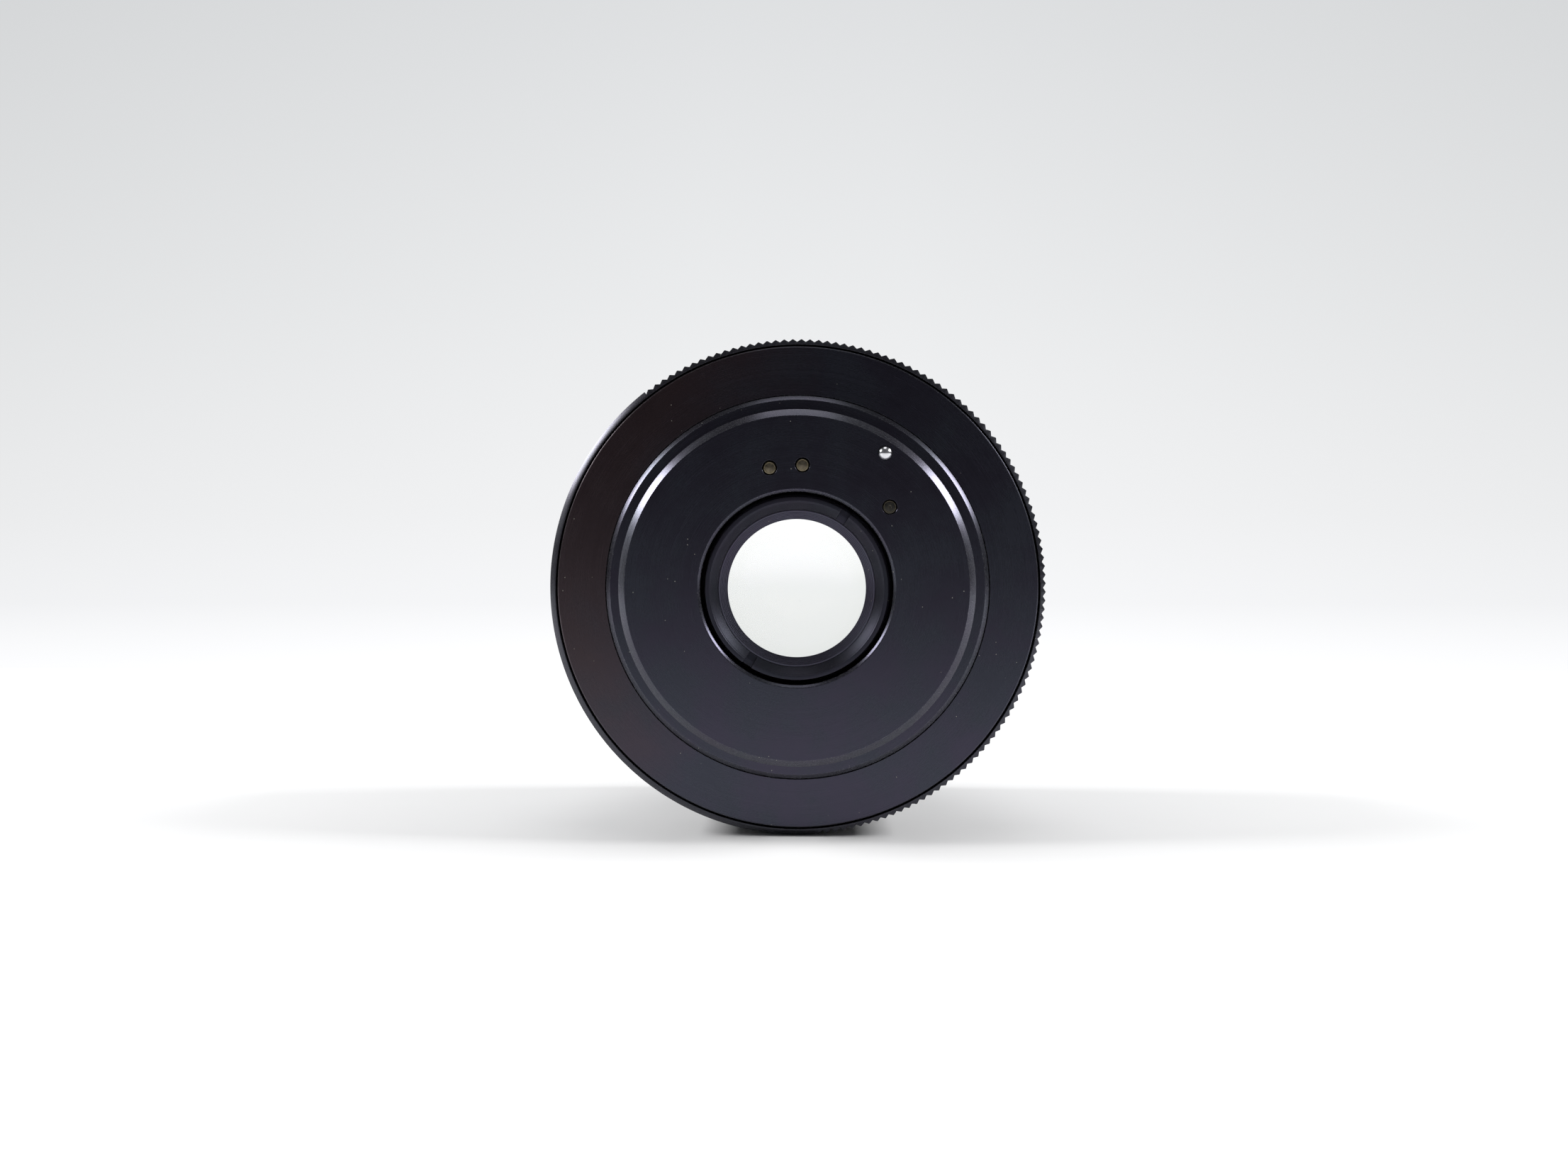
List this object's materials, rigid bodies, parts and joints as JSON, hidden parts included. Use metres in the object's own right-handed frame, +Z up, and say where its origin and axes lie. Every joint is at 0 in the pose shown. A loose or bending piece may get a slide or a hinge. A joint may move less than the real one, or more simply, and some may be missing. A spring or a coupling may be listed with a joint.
{
  "type": "enlarger lens",
  "caption": "Darkroom enlarging lens with a threaded rear mount boss, a flat rear flange, a knurled aperture ring, a leaf iris and coated glass in screwed-in cells.",
  "frame": {"origin": "middle of the lens's box, at the level it rests on, with the lens lying on its aperture ring", "axes": "+Y along the optical axis from the rear mount to the front rim, +Z up, +X to the right as seen from the rear"},
  "size_m": [0.056, 0.0396, 0.056],
  "materials": {
    "black_anodised": "satin black anodised",
    "ring_black": "fine satin black anodised, knurled",
    "inner_black": "matt black",
    "blade_steel": "blackened",
    "aged_brass": "turned, tarnished",
    "bright_steel": "polished",
    "spring_steel": "drawn wire",
    "coated_glass": "polished, coated"
  },
  "bodies": {
    "barrel": {"mount_boss": "black_anodised", "flange_plate": "black_anodised", "locating_pin_1": "aged_brass", "locating_pin_2": "aged_brass", "locating_pin_3": "aged_brass", "mount_screw_1": "bright_steel", "mount_screw_2": "bright_steel", "mount_screw_3": "bright_steel", "main_housing": "black_anodised", "iris_base_plate": "inner_black", "iris_cover_ring": "inner_black", "index_spring": "spring_steel", "click_spring": "spring_steel", "lens_element_1": "coated_glass", "lens_element_2": "coated_glass", "lens_element_3": "coated_glass", "lens_element_4": "coated_glass", "lens_element_5": "coated_glass", "lens_element_6": "coated_glass", "rear_cell": "inner_black", "rear_baffle_ring": "inner_black", "rear_spacer": "inner_black", "front_cell": "inner_black", "front_spacer": "inner_black", "front_retaining_ring": "inner_black", "front_barrel": "black_anodised", "barrel_set_screw_1": "inner_black", "barrel_set_screw_2": "inner_black", "barrel_set_screw_3": "inner_black", "name_ring": "inner_black"},
    "aperture_ring": {"aperture_ring": "ring_black", "iris_cam_ring": "inner_black", "drive_pin": "bright_steel"},
    "iris_blade_1": {"iris_blade_1": "blade_steel"},
    "iris_blade_2": {"iris_blade_2": "blade_steel"},
    "iris_blade_3": {"iris_blade_3": "blade_steel"},
    "iris_blade_4": {"iris_blade_4": "blade_steel"},
    "iris_blade_5": {"iris_blade_5": "blade_steel"},
    "index_ball": {"index_ball": "bright_steel"},
    "click_ball": {"click_ball": "bright_steel"}
  },
  "joints": [
    {"name": "aperture_turn", "type": "hinge", "parent": "barrel", "child": "aperture_ring", "pos_m": [0.00007, 0, 0.0281], "axis": [0, 1, 0], "range_deg": [0, 75]},
    {"name": "blade_1_swing", "type": "hinge", "parent": "barrel", "child": "iris_blade_1", "pos_m": [0.00233, -0.00613, 0.0409], "axis": [0, 1, 0], "range_deg": [0, 28.5]},
    {"name": "blade_2_swing", "type": "hinge", "parent": "barrel", "child": "iris_blade_2", "pos_m": [0.01295, -0.00613, 0.02991], "axis": [0, 1, 0], "range_deg": [0, 28.5]},
    {"name": "blade_3_swing", "type": "hinge", "parent": "barrel", "child": "iris_blade_3", "pos_m": [0.00577, -0.00613, 0.01642], "axis": [0, 1, 0], "range_deg": [0, 28.5]},
    {"name": "blade_4_swing", "type": "hinge", "parent": "barrel", "child": "iris_blade_4", "pos_m": [-0.00928, -0.00613, 0.01907], "axis": [0, 1, 0], "range_deg": [0, 28.5]},
    {"name": "blade_5_swing", "type": "hinge", "parent": "barrel", "child": "iris_blade_5", "pos_m": [-0.0114, -0.00613, 0.0342], "axis": [0, 1, 0], "range_deg": [0, 28.5]},
    {"name": "index_ball_press", "type": "slide", "parent": "barrel", "child": "index_ball", "axis": [0, 1, 0], "range_m": [0, 0.0005], "stiffness_N_per_m": 400, "springref_m": -0.0005, "deforming": ["index_spring"]},
    {"name": "click_ball_press", "type": "slide", "parent": "barrel", "child": "click_ball", "axis": [-1, 0, 0], "range_m": [0, 0.0005], "stiffness_N_per_m": 400, "springref_m": -0.0005, "deforming": ["click_spring"]}
  ],
  "couplings": [
    {"joint": "blade_1_swing", "follows": "aperture_turn", "ratio": 0.38},
    {"joint": "blade_2_swing", "follows": "aperture_turn", "ratio": 0.38},
    {"joint": "blade_3_swing", "follows": "aperture_turn", "ratio": 0.38},
    {"joint": "blade_4_swing", "follows": "aperture_turn", "ratio": 0.38},
    {"joint": "blade_5_swing", "follows": "aperture_turn", "ratio": 0.38}
  ]
}
